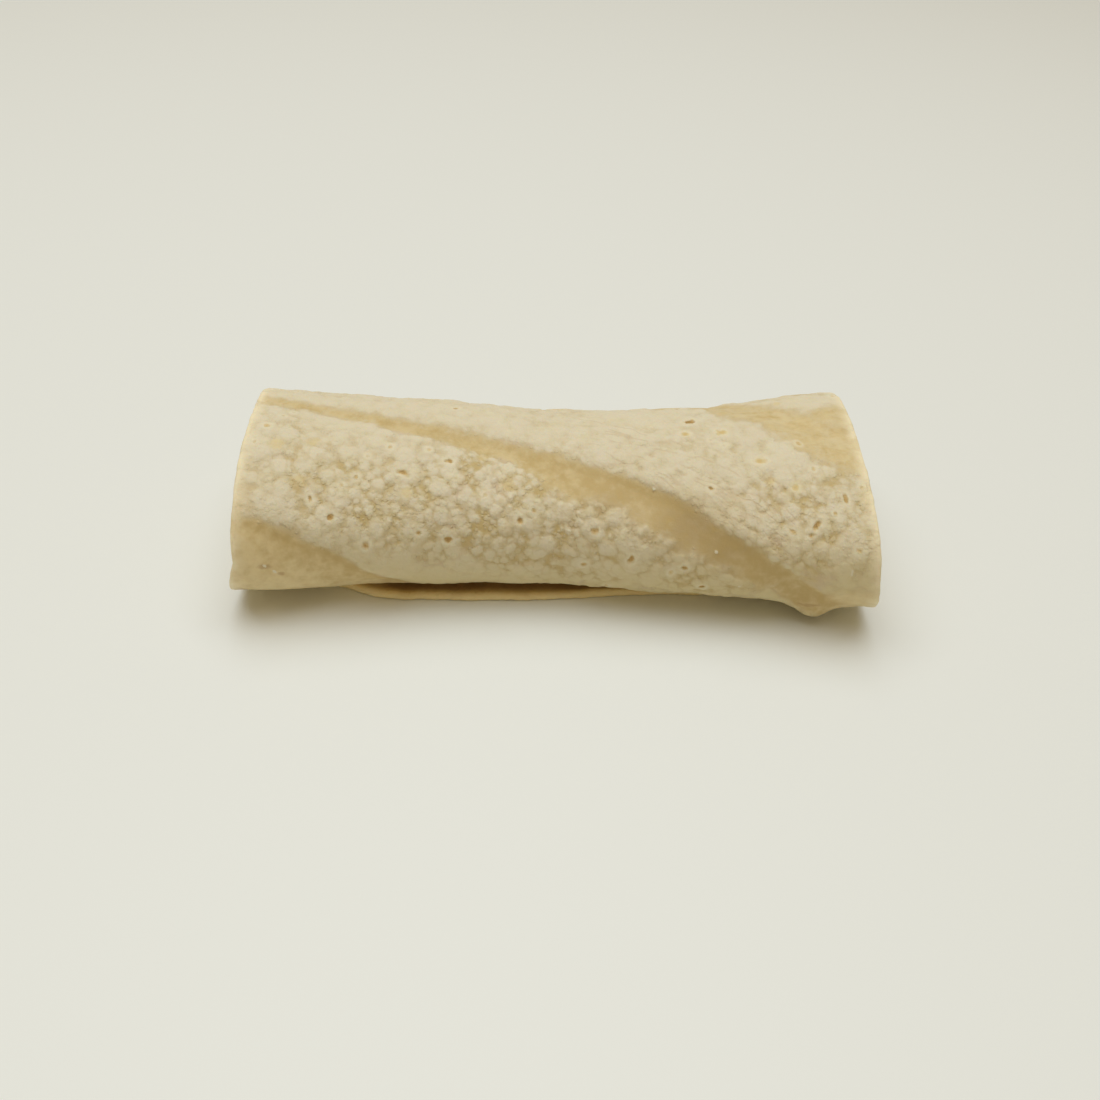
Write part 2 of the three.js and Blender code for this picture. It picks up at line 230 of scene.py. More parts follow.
# Pits, stains and flecks are also scattered over the back and the foot, by a seeded draw: how
# many, and the limits of each number that follows the place in the rows above.
SCATTERED = [
    (46, [(0.25, 0.75), (1.0, 1.6), (0, 180), (0.1, 0.9)]),
    (16, [(1.2, 2.2)]),
    (12, [(0.7, 1.8), (0, 180)]),
]
SCATTER_OVER = [(-73, 73), (-66, -16)]  # places along, and girths from the crown
SCATTER_SEED = 5

# ---- Fineness of the skin ----

STATIONS = 360
WALL_STEPS = 196
UNDERSIDE_STEPS = 14
TIP_STEPS = 8
LEDGE_STEPS = 9
FOLD_STEPS = 6
END_STEPS = 26
FRONT_TURN = -1.0  # the wall has finer steps in front of this turn
FRONT_FINENESS = 2.2  # how many times finer
FRONT_BLEND = 0.3  # how near to it the fineness changes
WALL_END = 2.5  # the turn up to which the steps are shared out
WALL_SAMPLES = 800

# How the marks and the places between them are shaped, in millimetres.
PIT_SIZE = 1.15  # times the listed radius
PIT_DOME = 0.8  # each pit sits in a dome of its own, this much wider than the pit
PIT_SHOULDER = 1.0
PIT_DOME_HEIGHT = 0.4
PIT_FAR = 3.0  # distance outside a pit's edge beyond which it counts for nothing
PIT_RAGGED = 0.45  # how far its edge strays, as a share of its radius
PIT_RING = 0.22  # height of the ring round a pit of radius 1
PIT_DEPTH = 0.36  # depth of an open pit, as a share of its radius
FLECK_HALF_WIDTH = 0.35
FLECK_HEIGHT = 0.15
LIP_WIDTH = 0.5  # the cut edge of the sheet, where it comes down over the free edge
LIP_STANDS = 0.32
EDGE_SHADE_FLAT = 1.5  # below a trough's edge the painted shade is darkest for this far
BROKEN_FROM = (-30, 10)  # the places along between which the stripes' lower edges break up
CALM_REACH = 3.6  # the domes lie flat this near to a trough's edge
CALM_TO = (0, 40)  # and stand up to the edge again between these places along the roll
RIM_SHEER_AND_HIGHLIGHT = 2.2  # how far the slightly sheer strip, with its painted highlight, reaches in from each end's rim
END_CALM = (68, 75)  # the places along, either way, between which the domes get lower
END_WAVES = (62, 74)  # and between which the rims start to wave
FRONT_CALM = (18, 40)  # the girths between which the domes get a little lower
FRONT_LOW = (26, 50)  # and between which the dough turns yellow towards the foot
DOME_SHARE = (0.62, 0.94)  # the share of their height on smooth and on cobbled dough


# ---- Small helpers ----


def mix(start, end, share):
    """start + (end - start) * share."""
    return start + (end - start) * share


def smoothstep(low, high, value):
    """0 below low, 1 above high, an S between them."""
    t = np.clip((value - low) / (high - low), 0, 1)
    return t * t * (3 - 2 * t)


def between(opens, closes, value):
    """Rises from 0 to 1 over the first pair of values, and goes back to 0 over the second."""
    return smoothstep(*opens, value) * (1 - smoothstep(*closes, value))


def hill(x, girth, at_x, at_s, reach_x, reach_s):
    """A round hill of height 1: exp(-(dx / reach_x)^2 - (ds / reach_s)^2)."""
    return np.exp(-(((x - at_x) / reach_x) ** 2) - ((girth - at_s) / reach_s) ** 2)


def hills(x, girth, places):
    """The highest of some round hills, each as high as its strength."""
    height = np.zeros(x.shape)
    for *where, strength in places:
        height = np.maximum(height, strength * hill(x, girth, *where))
    return height


def unrolled(x, girth):
    """Points of the sheet laid out flat."""
    return np.stack([x + 0 * girth, girth, 0 * girth], axis=-1)


def along_roll(values, x):
    """A value that goes from the waist's to an end's as the flare opens, by |x|^power."""
    end = np.where(x < 0, values["left"], values["right"])
    return mix(values["waist"], end, np.abs(x / (LENGTH / 2)) ** FLARE_POWER)


def through_points(points, x):
    """Height at x of the curve through the points, on cubic pieces with smooth joints."""
    px, py = np.array(points, float).T
    last = len(px) - 1
    place = np.arange(last + 1)
    before = np.maximum(place - 1, 0)
    after = np.minimum(place + 1, last)
    slope = (py[after] - py[before]) / (px[after] - px[before])
    i = np.clip(np.searchsorted(px, x) - 1, 0, last - 1)
    span = px[i + 1] - px[i]
    t = np.clip((x - px[i]) / span, 0, 1)
    rise = slope[i] * span * t * (1 - t) ** 2 - slope[i + 1] * span * t * t * (1 - t)
    return mix(py[i], py[i + 1], t * t * (3 - 2 * t)) + rise


# ---- Noise ----


def scatter(cell, seed):
    """A fixed random number in 0..1 for each whole-number cell, by mixing its bits."""
    h = cell[..., 0] * 374761393 + cell[..., 1] * 668265263 + cell[..., 2] * 1440662683
    h = (h + seed * 974711) & 0xFFFFFFFF
    h = ((h ^ (h >> 15)) * 739982445) & 0xFFFFFFFF
    h = ((h ^ (h >> 12)) * 695872825) & 0xFFFFFFFF
    return ((h ^ (h >> 15)) & 0xFFFFFF) / float(0x1000000)


CORNERS = [np.array(step) for step in np.ndindex(2, 2, 2)]
CUBE = [np.array(step) for step in np.ndindex(3, 3, 3)]


def soft_noise(points, size, seed):
    """Smooth noise in -1..1: random values on a grid of that size, blended between corners."""
    q = points / size
    cell = np.floor(q).astype(np.int64)
    t = q - cell
    t = t * t * t * (t * (6 * t - 15) + 10)
    total = np.zeros(points.shape[:-1])
    for corner in CORNERS:
        weight = np.where(corner, t, 1 - t).prod(axis=-1)
        total += weight * scatter(cell + corner, seed)
    return total * 2 - 1


def noise(name, points, shift=0):
    """A noise of the table: each layer is half the size and the height of the last."""
    size, height, layers, seed = NOISES[name]
    total = np.zeros(points.shape[:-1])
    for layer in range(layers):
        total += soft_noise(points, size / 2**layer, seed + shift + layer) / 2**layer
    return height * (total / (2 - 2 ** (1 - layers)))


def push(name, points):
    """A noise of the table in each of the three directions."""
    return np.stack([noise(name, points, k) for k in range(3)], axis=-1)


def domes(points, size, seed, radii, grow, blend):
    """How far inside the domes each point lies, its two nearest domes, and a tone 0..1.

    Each cube of a grid holds one sphere of its own radius at a random place. Distances
    inside, r - d, are run together softly, by blend log(sum(exp((r - d) / blend))).
    """
    cell = np.floor(points / size).astype(np.int64)
    first = np.full(points.shape[:-1], NO_DOME)
    second, total, tone = first.copy(), np.zeros_like(first), np.zeros_like(first)
    for step in CUBE:
        near = cell + step - 1
        middle = near + np.stack([scatter(near, seed + k) for k in range(3)], axis=-1)
        radius = mix(*radii, scatter(near, seed + 4)) + grow
        inside = radius - np.linalg.norm(points - size * middle, axis=-1)
        total += np.exp(np.maximum(inside, NO_DOME) / blend)
        tone = np.where(inside > first, scatter(near, seed + 3), tone)
        second = np.maximum(second, np.minimum(first, inside))
        first = np.maximum(first, inside)
    return blend * np.log(total), first, second, tone


def wander(x, girth):
    """How far the troughs' edges wander up and down the girth."""
    flat = unrolled(x, girth)
    stray = noise("edges", flat) + noise("small bends", flat)
    for *where, shift in EDGE_STRAYS:
        stray = stray + shift * hill(x, girth, *where)
    return stray


# ---- Sections ----


def squareness(turn):
    """Radius factor of a superellipse: (|sin|^p + |cos|^p)^(-1/p), p larger at the foot."""
    power = SQUARENESS_MEAN - SQUARENESS_SWING * np.cos(turn)
    return (np.abs(np.sin(turn)) ** power + np.abs(np.cos(turn)) ** power) ** (-1 / power)


def end_lift(x):
    """Clearance under the roll, which grows from nothing towards each end."""
    return END_LIFT * smoothstep(END_LIFT_START, LENGTH / 2, np.abs(x))


def plain_section(x, turn, inset):
    """Y and Z of the plain superellipse at x, drawn in by inset all round."""
    half_width = along_roll(HALF_WIDTH, x)
    half_height = along_roll(HALF_HEIGHT, x)
    radius = squareness(turn)
    y = along_roll(SIDEWAYS_DRIFT, x) - (half_width - inset) * radius * np.sin(turn)
    z = end_lift(x) + half_height - FOOT_PRESS + (half_height - inset) * radius * np.cos(turn)
    return y, z


def ledge_thickness(x):
    """Thickness of the free edge: full where it shows, pinched where the roll hides it."""
    return SHEET * mix(SHEET_PINCHED, 1, between(*LEDGE_SHOWS, x))


def free_edge_open(x):
    """How far the wall has lifted off the free edge, 0..1, unevenly along the roll."""
    return between(*LIFTED, x) * (0.85 + 0.15 * np.sin(x / 3.1) * np.sin(x / 7.3 + 1))


def ledge_turn(x):
    """The turn at which the wall comes down to the top of the ledge, at the front."""
    gap = LEDGE_GAP + LEDGE_OPEN * free_edge_open(x)
    drop = 1 - (ledge_thickness(x) + gap + FOOT_PRESS) / along_roll(HALF_HEIGHT, x)
    power = SQUARENESS_MEAN + SQUARENESS_SWING
    side = (1 - drop**power) ** (1 / power)
    return math.pi - np.arctan2(side, drop)


def rim_lean(x, turn):
    """How far the rim leans out along X, growing towards each end by a power of x."""
    share = np.clip((np.abs(x) - RIM_LEAN_START) / (LENGTH / 2 - RIM_LEAN_START), 0, 1)
    down, front = -np.cos(turn), np.sin(turn)
    corner = 2 * np.maximum(down, 0) * np.maximum(front, 0)
    left, right = (a * down + b * front + c * corner for a, b, c in RIM_LEAN.values())
    return np.sign(x) * np.where(x < 0, left, right) * share**RIM_LEAN_POWER


def trough_parts(trough, x, girth):
    """Distance below a trough's upper edge, and how far along it is open, 0..1."""
    (a, b, c, d), start, stop, _, _ = trough
    below = girth - (a + x * (b + x * (c + x * d)))
    return below, between((start - TROUGH_FADE, start), (stop, stop + TROUGH_FADE), x)


def big_relief(x, girth):
    """Depth of the troughs, each a step down and a slow rise, and height of the swells."""
    relief = 0
    for trough in TROUGHS:
        below, open_share = trough_parts(trough, x, girth + wander(x, girth))
        width, depth = trough[-2:]
        step = smoothstep(-1.3 * TROUGH_STEP, 1.2 * TROUGH_STEP, below)
        rise = 1 - smoothstep(TROUGH_FLOOR * width, TROUGH_RIM * width, below)
        relief = relief - depth * step * rise * open_share
    for height, along, around, phase in SWELLS:
        relief = relief + height * np.sin(2 * math.pi * (x * along + girth * around + phase))
    return relief


def wall_shares():
    """Shares 0..1 of the way round the wall, with finer steps at the crown and front."""
    turn = np.linspace(FOOT_TURN, WALL_END, WALL_SAMPLES)
    in_front = smoothstep(FRONT_TURN - FRONT_BLEND, FRONT_TURN + FRONT_BLEND, turn)
    fineness = mix(1, FRONT_FINENESS, in_front)
    reached = np.concatenate([[0], np.cumsum((fineness[1:] + fineness[:-1]) / 2)])
    share = np.interp(np.linspace(0, 1, WALL_STEPS + 1), reached / reached[-1], turn)
    return (share - FOOT_TURN) / (turn[-1] - FOOT_TURN)


def body_sections():
    """Every section of the body, as arrays of station by place round the section.

    Round each section the places run from the foot at the back over the crown to the
    ledge, out along the ledge, round the free edge's tip, and back along the table.
    """
    half = LENGTH / 2 - FOLD_RADIUS
    x = np.linspace(-half, half, STATIONS + 1)[:, None]
    lift = end_lift(x)

    turn = mix(FOOT_TURN, ledge_turn(x), wall_shares()[None, :])
    y, z = plain_section(x, turn, 0)
    step = np.hypot(np.diff(y), np.diff(z))
    girth = np.concatenate([np.zeros_like(x), np.cumsum(step, axis=1)], axis=1)
    crown = np.argmax(turn > 0, axis=1)[:, None]
    turn_before, turn_after = (np.take_along_axis(turn, crown - k, 1) for k in (1, 0))
    girth_before, girth_after = (np.take_along_axis(girth, crown - k, 1) for k in (1, 0))
    girth = girth - mix(girth_before, girth_after, -turn_before / (turn_after - turn_before))

    dy, dz = np.gradient(y, axis=1), np.gradient(z, axis=1)
    size = np.hypot(dy, dz)
    free = smoothstep(0, RELIEF_FADE, turn - FOOT_TURN)
    free = free * smoothstep(0, RELIEF_FADE, ledge_turn(x) - turn)
    rise = free * big_relief(x, girth) + hills(x, turn, [FOLD_BULGE])
    y, z = y + rise * dz / size, np.maximum(z - rise * dy / size, lift)

    thick = ledge_thickness(x) / 2
    inner_y, inner_z = y[:, -1:], z[:, -1:]
    edge = through_points(FREE_EDGE, x)
    hidden = LEDGE_HIDDEN - inner_y
    reach = (edge + hidden + np.hypot(edge - hidden, EDGE_SOFTNESS)) / 2
    torn = noise("free edge", np.concatenate([x, 0 * x, 0 * x], axis=1))
    reach = reach + torn[:, None] * free_edge_open(x)
    share = np.arange(1, LEDGE_STEPS + 1)[None, :] / (LEDGE_STEPS + 1)
    tucked = np.sin(math.pi * np.clip(share / POCKET_SHARE, 0, 1))
    ledge_y = mix(inner_y, thick - reach, share) + POCKET * free_edge_open(x) * tucked
    ledge_z = mix(inner_z, lift + 2 * thick, smoothstep(0, 0.25, share))
    angle = math.pi * (0.5 - np.arange(TIP_STEPS + 1)[None, :] / TIP_STEPS)
    tip_y = thick - reach - thick * np.cos(angle)
    tip_z = lift + thick + thick * np.sin(angle)
    share = np.arange(1, UNDERSIDE_STEPS)[None, :] / UNDERSIDE_STEPS
    under_y = mix(thick - reach, y[:, :1], share)
    under_z = lift + 0 * under_y

    loose = LEDGE_STEPS + TIP_STEPS + UNDERSIDE_STEPS
    share = np.arange(1, loose + 1)[None, :] / (loose + 1)
    loose_turn = mix(ledge_turn(x), FOOT_TURN + 2 * math.pi, share)
    loose_girth = girth[:, -1:] + (loose_turn - ledge_turn(x)) * along_roll(HALF_HEIGHT, x)
    y = np.concatenate([y, ledge_y, tip_y, under_y], axis=1)
    z = np.concatenate([z, ledge_z, tip_z, under_z], axis=1)
    turn = np.concatenate([turn, loose_turn], axis=1)
    girth = np.concatenate([girth, loose_girth], axis=1)
    place = np.stack([x + rim_lean(x, turn), y, z], axis=-1)
    ledge_out, tip_out = np.arange(1, LEDGE_STEPS + 1), np.arange(TIP_STEPS + 1) / 3
    out = np.concatenate([ledge_out, LEDGE_STEPS + 1 + tip_out])
    # Painted shade on the ledge where it runs in under the roll, fading out towards its tip.
    under_roll = 1 - smoothstep(*POCKET_SHADE, out / (LEDGE_STEPS + 1))
    before = WALL_STEPS + 1
    pocket_shade = np.zeros_like(turn)
    pocket_shade[:, before : before + len(out)] = under_roll[None, :] * free_edge_open(x) ** 0.5
    return {"place": place, "turn": turn, "girth": girth, "along": x + 0 * turn, "pocket_shade": pocket_shade}


def end_sections(side, rim):
    """Sections of one end face, from just inside the rim to the slot in its middle.

    Round the fold each is drawn in by r(1 - cos) and pushed out by r sin. Inside it the
    plies lie in a flat spiral, with a |cos|^3 groove between them, in a shallow dish.
    """
    x = side * (LENGTH / 2 - FOLD_RADIUS)
    place, turn = rim["place"][None], rim["turn"][None]
    depth = along_roll(HALF_HEIGHT, np.array(float(x))) - END_CORE
    angle = (math.pi / 2) * np.arange(1, FOLD_STEPS + 1) / FOLD_STEPS
    face = mix(FOLD_RADIUS, depth, np.arange(1, END_STEPS + 1) / END_STEPS)
    inset = np.concatenate([FOLD_RADIUS * (1 - np.cos(angle)), face])[:, None]
    out = np.concatenate([FOLD_RADIUS * np.sin(angle), 0 * face + FOLD_RADIUS])[:, None]

    y, z = plain_section(np.array(float(x)), turn, inset)
    stray = noise("plies", np.stack([0 * y + x, y, z], axis=-1))
    phase = (inset - FOLD_RADIUS) / PLY_PITCH - turn / (2 * math.pi) + stray
    groove = np.abs(np.cos(math.pi * phase)) ** 3
    across = inset / depth
    fade = smoothstep(0, PLY_PITCH / 2, inset - FOLD_RADIUS) * (1 - smoothstep(0.8, 1, across))
    dish = END_DISH * smoothstep(0, 1, across) + PLY_GROOVE * groove * fade

    settle = smoothstep(0, FOLD_RADIUS, inset)
    lean = rim_lean(np.array(side * LENGTH / 2), turn) * (1 - across)
    px = mix(place[..., 0], x + lean, settle) + side * (out - dish * settle)
    py = mix(place[..., 1], y, settle)
    pz = mix(place[..., 2], z, settle)
    same = 0 * inset + 0 * turn
    return {
        "place": np.stack([px, py, pz], axis=-1), "turn": turn + same, "pocket_shade": same,
        "girth": rim["girth"][None] + same, "along": side * (LENGTH / 2 + inset) + same,
        "groove": groove * fade, "core": smoothstep(0.75, 1, across) + same,
    }


# ---- Fine relief and make-up of the dough ----


def outward(place):
    """Outward direction at each point of the grid, from its neighbours' differences."""
    round_step = np.roll(place, -1, axis=1) - np.roll(place, 1, axis=1)
    along_step = np.gradient(place, axis=0)
    normal = np.cross(round_step, along_step)
    return normal / np.maximum(np.linalg.norm(normal, axis=-1, keepdims=True), 1e-9)


def all_marks():
    """The listed pits, stains and flecks, each kind with its scattered ones after it."""
    draw = np.random.default_rng(SCATTER_SEED)
    kinds = []
    for listed, (count, ranges) in zip((PITS, STAINS, FLECKS), SCATTERED):
        columns = [draw.uniform(*limits, count) for limits in SCATTER_OVER + ranges]
        kinds.append(np.concatenate([listed, np.stack(columns, axis=-1)]))
    return kinds


def offsets(along, girth, x, s, slant, reach):
    """Rows near a mark, and each place's distance along and across the mark's slant."""
    rows = np.abs(along[:, 0] - x) < reach
    dx, ds = along[rows] - x, girth[rows] - s
    c, n = math.cos(math.radians(slant)), math.sin(math.radians(slant))
    return rows, dx * c + ds * n, ds * c - dx * n


def marks(along, girth):
    """Distance outside the nearest pit's edge, its browning and radius; stains, flecks 0..1."""
    pits, stains, flecks = all_marks()
    edge = np.full(along.shape, PIT_FAR)
    brown, size = np.zeros(along.shape), np.zeros(along.shape)
    for x, s, radius, drawn_out, slant, toast in pits:
        radius = PIT_SIZE * radius
        rows, lengthwise, crosswise = offsets(along, girth, x, s, slant, PIT_FAR + 2)
        outside = (np.hypot(lengthwise / drawn_out, crosswise) / radius - 1) * radius
        closer = outside < edge[rows]
        edge[rows] = np.where(closer, outside, edge[rows])
        brown[rows] = np.where(closer, toast, brown[rows])
        size[rows] = np.where(closer, radius, size[rows])
    stain = np.zeros(along.shape)
    for x, s, radius in stains:
        rows, dx, ds = offsets(along, girth, x, s, 0, 2.5 * radius)
        stain[rows] = np.maximum(stain[rows], hill(dx, ds, 0, 0, radius, radius))
    fleck = np.zeros(along.shape)
    for x, s, length, slant in flecks:
        rows, lengthwise, crosswise = offsets(along, girth, x, s, slant, 2 * length)
        shape = np.hypot(lengthwise / (length / 2), crosswise / FLECK_HALF_WIDTH)
        fleck[rows] = np.maximum(fleck[rows], 1 - smoothstep(0.5, 1.4, shape))
    return edge, brown, size, stain, fleck


def sheer_share(x, girth):
    """Where the sheet is stretched smooth, where painted shade darkens it, where yellow, where domes
    lie flat.

    Each is a soft stripe below the trough's edge. Each size goes from its first value at
    one x to its second at the other. The lower left stripe reaches down to the foot.
    """
    girth = girth + wander(x, girth)
    broken = noise("stripes", unrolled(x, girth)) * smoothstep(*BROKEN_FROM, x)
    sheer, edge_shade, honey, calm = 0, 0, 0, 0
    for trough, (start, stop, *sizes, yellowed) in zip(TROUGHS, SHEER):
        below, open_share = trough_parts(trough, x, girth)
        share = smoothstep(start, stop, x)
        width, strength, soft, darkest_shade, reach = (mix(*pair, share) for pair in sizes)
        band = smoothstep(-soft, soft, below) * open_share
        band = band * (1 - smoothstep(0.6 * width - 0.5, 1.2 * width + 1.5, below + broken))
        # Painted shade just below the edge: darkest at first, then fading further down.
        shade_depth = np.exp(-np.maximum(below - EDGE_SHADE_FLAT, 0) / reach) * darkest_shade
        sheer = np.maximum(sheer, band * strength)
        edge_shade = np.maximum(edge_shade, band * shade_depth)
        honey = np.maximum(honey, band * yellowed)
        calm = np.maximum(calm, open_share * np.exp(-((below / CALM_REACH) ** 2)))
    for *where, strength, yellowed in SHEER_PATCHES:
        patch = hill(x, girth, *where)
        sheer = np.maximum(sheer, np.minimum(strength * patch, 1))
        honey = np.maximum(honey, patch * yellowed)
    return sheer, edge_shade, honey, calm * (1 - smoothstep(*CALM_TO, x))


def cobbled_share(place, x, girth):
    """Where the cobbles stand out: uneven everywhere, and stronger and weaker in places."""
    share = COBBLED_MEAN + noise("cobbles", place)
    for *where, strength in COBBLED:
        share = share + strength * hill(x, girth, *where)
    return np.clip(share, 0, 1)


def creased(x, girth):
    """Distance below the main trough's edge, and where wrinkles run along it, 0..1."""
    below, _ = trough_parts(TROUGHS[0], x, girth)
    near = between(*WRINKLED_BELOW, below) * smoothstep(*WRINKLED_FROM, x)
    return below, near * (1 - smoothstep(*WRINKLED_TO, x))


def raised(stands, inside, shoulder, height):
    """Adds domes that rise over a round shoulder: height * t(2 - t), t the share of it."""
    share = np.clip(inside / shoulder, 0, 1)
    dome = height * share * (2 - share)
    return np.maximum(stands, dome) + DOME_OVERLAP * np.minimum(stands, dome)


def blisters(place, sheer, cobbled, edge, pit_size):
    """How high the domes stand, how far inside them each place is, its seam, and a tone.

    Both sizes of dome and the pits' own ones are run together softly. The seam is how much
    nearer the nearest dome is than the next.
    """
    warped = place + OUTLINE_WARP * (push("warp", place) + push("broad warp", place))
    blend = mix(*DOME_BLEND, cobbled)
    total, stands, tone = 0, 0, 0
    nearest = np.full(cobbled.shape, NO_DOME)
    beside = nearest.copy()
    for number, (size, seed, radii, height, shoulder, growth) in enumerate(DOMES):
        grow = mix(mix(*growth[:2], cobbled), growth[2], sheer) + noise("growth", place, number)
        inside, first, second, own_tone = domes(warped, size, seed, radii, grow, blend)
        stands = raised(stands, inside, shoulder, height)
        total = total + np.exp(inside / blend)
        beside = np.maximum(np.minimum(nearest, first), np.maximum(beside, second))
        tone = np.where(first > nearest, own_tone, tone)
        nearest = np.maximum(nearest, first)
    ringed = PIT_DOME + 1.5 * pit_size - np.maximum(edge, 0) - 2.5 * sheer - 2.5 * (pit_size == 0)
    stands = raised(stands, ringed, PIT_SHOULDER, PIT_DOME_HEIGHT)
    flour = blend * np.log(total + np.exp(ringed / blend))
    return stands, flour, nearest - beside, tone


def with_pits(relief, edge, size, brown):
    """Calms the relief round each pit, raises a ring there, and sinks a hole if it is open."""
    hole = 1 - smoothstep(-0.5, 0.25, edge)
    ring = np.exp(-(((edge - 0.40) / 0.34) ** 2)) + 0.5 * np.exp(-((edge / 1.1) ** 2))
    open_pit = smoothstep(0.1, 0.6, brown)
    relief = relief * (1 - 0.5 * np.clip(hole + ring, 0, 1))
    relief = relief + PIT_RING * np.sqrt(size) * ring * mix(0.5, 1, open_pit)
    return relief - size * PIT_DEPTH * open_pit * hole


def dough(grid):
    """Relief of the dough in millimetres, and the attributes that its material reads."""
    place, along, girth, turn = grid["place"], grid["along"], grid["girth"], grid["turn"]
    wall = smoothstep(0, 0.2, turn - FOOT_TURN) * smoothstep(0, 0.2, grid["ledge"] - turn)
    rim = np.exp(-(((np.abs(along) - LENGTH / 2) / RIM_SHEER_AND_HIGHLIGHT) ** 2))
    face = smoothstep(0, 2, np.abs(along) - LENGTH / 2)
    sheer, edge_shade, honey, calm = sheer_share(along, girth)
    sheer = np.maximum(sheer * wall * (1 - face), 0.25 * rim)
    sheer = np.clip(np.maximum(sheer, face * (0.15 + 0.5 * grid["groove"])), 0, 1)
    cobbled = cobbled_share(place, along, girth) * (1 - 0.6 * rim)

    edge, brown, size, stain, fleck = marks(along, girth)
    ragged = edge + PIT_RAGGED * size * noise("pits", place)
    edge = np.where(wall > 0.5, ragged, PIT_FAR)
    stands, flour, seam, tone = blisters(place, sheer, cobbled, edge, size)
    stands = stands * (1 - 0.3 * smoothstep(*FRONT_CALM, girth))
    relief = stands * mix(*DOME_SHARE, cobbled) * (1 - 0.6 * sheer) * (1 - 0.75 * calm * wall)
    relief = relief * (1 - 0.6 * smoothstep(*END_CALM, np.abs(along)) * (1 - face))
    below, crease = creased(along, girth)
    down_to_lip = np.maximum(grid["ledge"] - turn, 0) * along_roll(HALF_HEIGHT, along)
    lip = np.exp(-((down_to_lip / LIP_WIDTH) ** 2)) * (turn <= grid["ledge"]) * (1 - face)

    relief = with_pits(relief, edge, size, brown)
    relief = relief + noise("lumps", place) + noise("small lumps", place)
    relief = relief + FLECK_HEIGHT * fleck * wall + noise("grain", place) * (1 - 0.7 * sheer)
    relief = relief + noise("sheer grain", place) * sheer
    relief = relief + LIP_STANDS * lip * (1 + noise("lip", place))
    relief = relief + noise("rims", place) * smoothstep(*END_WAVES, np.abs(along))
    return relief * mix(0.25, 1, np.maximum(wall, face)) * (1 - grid["core"]), {
        "flour": flour, "seam": seam, "tone": tone, "sheer": sheer, "cobbled": cobbled,
        "edge_shade": edge_shade * wall * (1 - face), "honey": honey * wall * (1 - face),
        "low": smoothstep(*FRONT_LOW, girth) * wall * (1 - face),
        "thin": hills(along, girth, THIN) * wall * (1 - face),
        "along": along, "below": below, "creased": crease * (1 - sheer) * wall,
        "pit": edge, "brown": brown, "stain": stain * wall, "fleck": fleck * wall,
        "scuff": hills(along, girth, SCUFFS) * wall,
        "inner": (1 - wall) * (1 - face), "rim": rim, "lip": lip, "pocket_shade": grid["pocket_shade"],
        "groove": np.maximum(grid["groove"], 0.7 * grid["core"]),
    }


def whole_grid():
    """The body and both end faces as one grid of sections, left to right."""
    body = body_sections()
    body["groove"] = 0 * body["turn"]
    body["core"] = 0 * body["turn"]
    rims = [{key: value[row] for key, value in body.items()} for row in (0, -1)]
    left = end_sections(-1, rims[0])
    right = end_sections(1, rims[1])
    grid = {k: np.concatenate([left[k][::-1], body[k], right[k]]) for k in body}
    station = np.clip(grid["along"][:, :1], -LENGTH / 2, LENGTH / 2)
    grid["ledge"] = ledge_turn(station) + 0 * grid["turn"]
    return grid


def skin_mesh(name, place, attributes):
    """One closed mesh from a grid of closed sections, with a fan on the slot at each end."""
    rows, count = place.shape[:2]
    hubs = np.stack([place[0].mean(axis=0), place[-1].mean(axis=0)])
    points = np.concatenate([place.reshape(-1, 3), hubs]) * MM
    i, j = np.meshgrid(np.arange(rows - 1), np.arange(count), indexing="ij")
    a, b = i * count + j, i * count + (j + 1) % count
    quads = np.stack([a, b, b + count, a + count], axis=-1).reshape(-1, 4)
    j = np.arange(count)
    last = (rows - 1) * count
    left_fan = np.stack([0 * j + rows * count, (j + 1) % count, j], axis=-1)
    right_fan = np.stack([0 * j + rows * count + 1, last + j, last + (j + 1) % count], axis=-1)
    fans = np.concatenate([left_fan, right_fan])

    mesh = bpy.data.meshes.new(name)
    mesh.vertices.add(len(points))
    mesh.vertices.foreach_set("co", points.ravel())
    corners = np.concatenate([quads.ravel(), fans.ravel()])
    starts = np.concatenate([4 * np.arange(len(quads)), 4 * len(quads) + 3 * np.arange(len(fans))])
    mesh.loops.add(len(corners))
    mesh.loops.foreach_set("vertex_index", corners.astype(np.int32))
    mesh.polygons.add(len(starts))
    mesh.polygons.foreach_set("loop_start", starts.astype(np.int32))
    mesh.polygons.foreach_set("use_smooth", np.ones(len(starts), bool))
    mesh.update(calc_edges=True)
    mesh.validate()
    for key, value in attributes.items():
        layer = mesh.attributes.new(key, "FLOAT", "POINT")
        ends = [value[0].mean(), value[-1].mean()]
        layer.data.foreach_set("value", np.concatenate([value.ravel(), ends]).astype(np.float32))
    return mesh


# ---- Materials ----


def operator(operation, reflected=False):
    """A method that adds a Math node, with its operands the other way round if reflected."""

    def method(self, other):
        first, second = (other, self) if reflected else (self, other)
        return self.maker.node("Math", {"operation": operation}, {0: first, 1: second})

    return method


class Value:
    """A socket that adds Math nodes when it is used in an expression."""

    __add__, __radd__ = operator("ADD"), operator("ADD", True)
    __sub__, __rsub__ = operator("SUBTRACT"), operator("SUBTRACT", True)
    __mul__, __rmul__ = operator("MULTIPLY"), operator("MULTIPLY", True)
    __truediv__ = operator("DIVIDE")
    greater = operator("MAXIMUM")

    def __init__(self, maker, socket):
        self.maker = maker
        self.socket = socket


